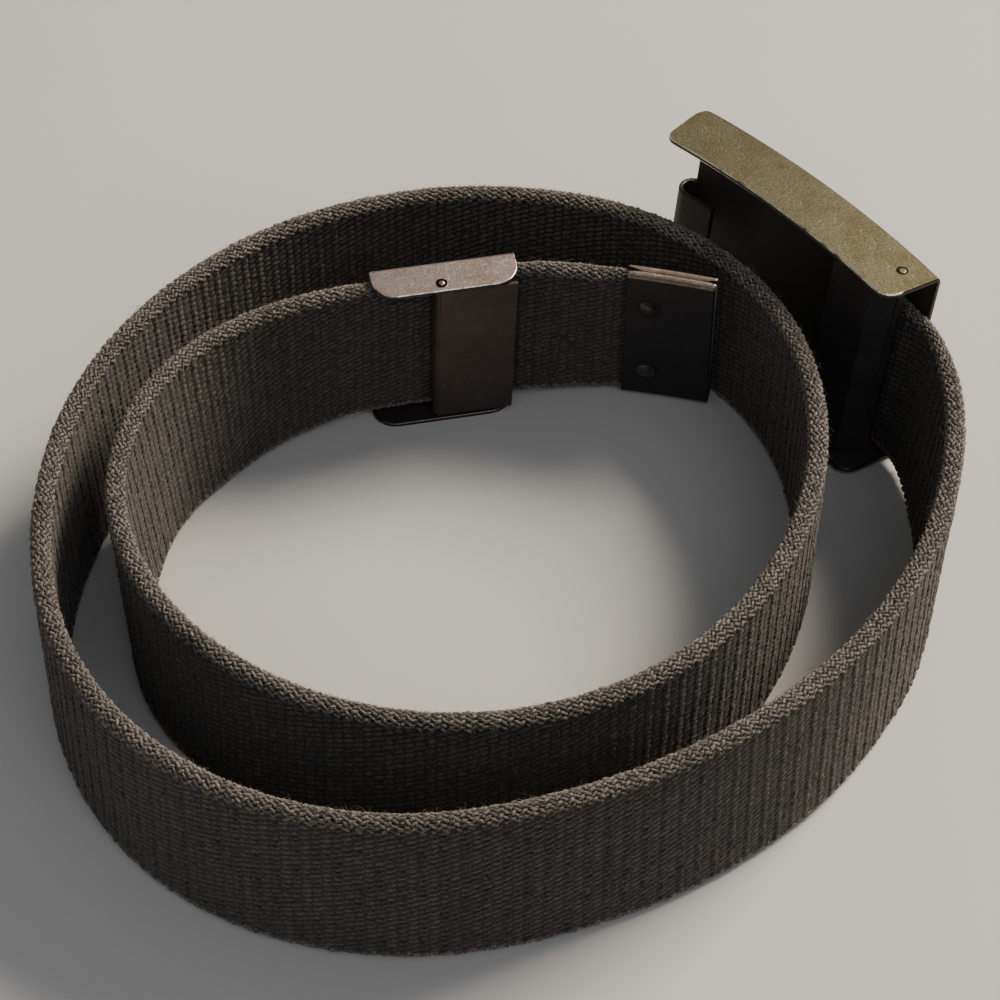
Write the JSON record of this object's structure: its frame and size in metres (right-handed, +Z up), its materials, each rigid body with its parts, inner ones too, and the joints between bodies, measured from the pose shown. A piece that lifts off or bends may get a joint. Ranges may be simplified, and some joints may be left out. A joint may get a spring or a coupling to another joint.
{
  "type": "canvas web belt",
  "caption": "Canvas web belt coiled on its edge, with a hooked clamp buckle, a clamp slider and a metal tip; both clamp levers hinge on their pins",
  "frame": {"origin": "the bottom centre of the whole belt's box, on the surface that the coil stands on", "axes": "+Z up, across the strap's width; -Y towards the picture's camera; +X to its right, where the strap leaves the buckle"},
  "size_m": [0.2048, 0.205, 0.0593],
  "materials": {
    "webbing": "matt, thick ribbed cotton webbing",
    "buckle": "dull olive-brown patina, worn bright along the edges",
    "dark_lever": "blackened, scratched",
    "slider": "pinkish grey, brushed and scratched",
    "slider_lever": "brown patina, satin",
    "pin": "worn bright on the ends",
    "tip": "copper-brown on the edges, dark on the faces"
  },
  "bodies": {
    "belt": {"webbing": "webbing", "buckle_body": "buckle", "buckle_pin": "pin", "slider_body": "slider", "slider_pin": "pin", "tip": "tip"},
    "buckle_lever": {"buckle_lever": "dark_lever"},
    "slider_lever": {"slider_lever": "slider_lever"}
  },
  "joints": [
    {"name": "buckle_lever_hinge", "type": "hinge", "parent": "belt", "child": "buckle_lever", "pos_m": [0.08748, 0.04612, 0.02916], "axis": [0.0585, 0.038, 0.9976], "range_deg": [0, 95]},
    {"name": "slider_lever_hinge", "type": "hinge", "parent": "belt", "child": "slider_lever", "pos_m": [-0.0165, 0.0517, 0.02401], "axis": [-0.0176, 0.0765, -0.9969], "range_deg": [0, 90]}
  ]
}
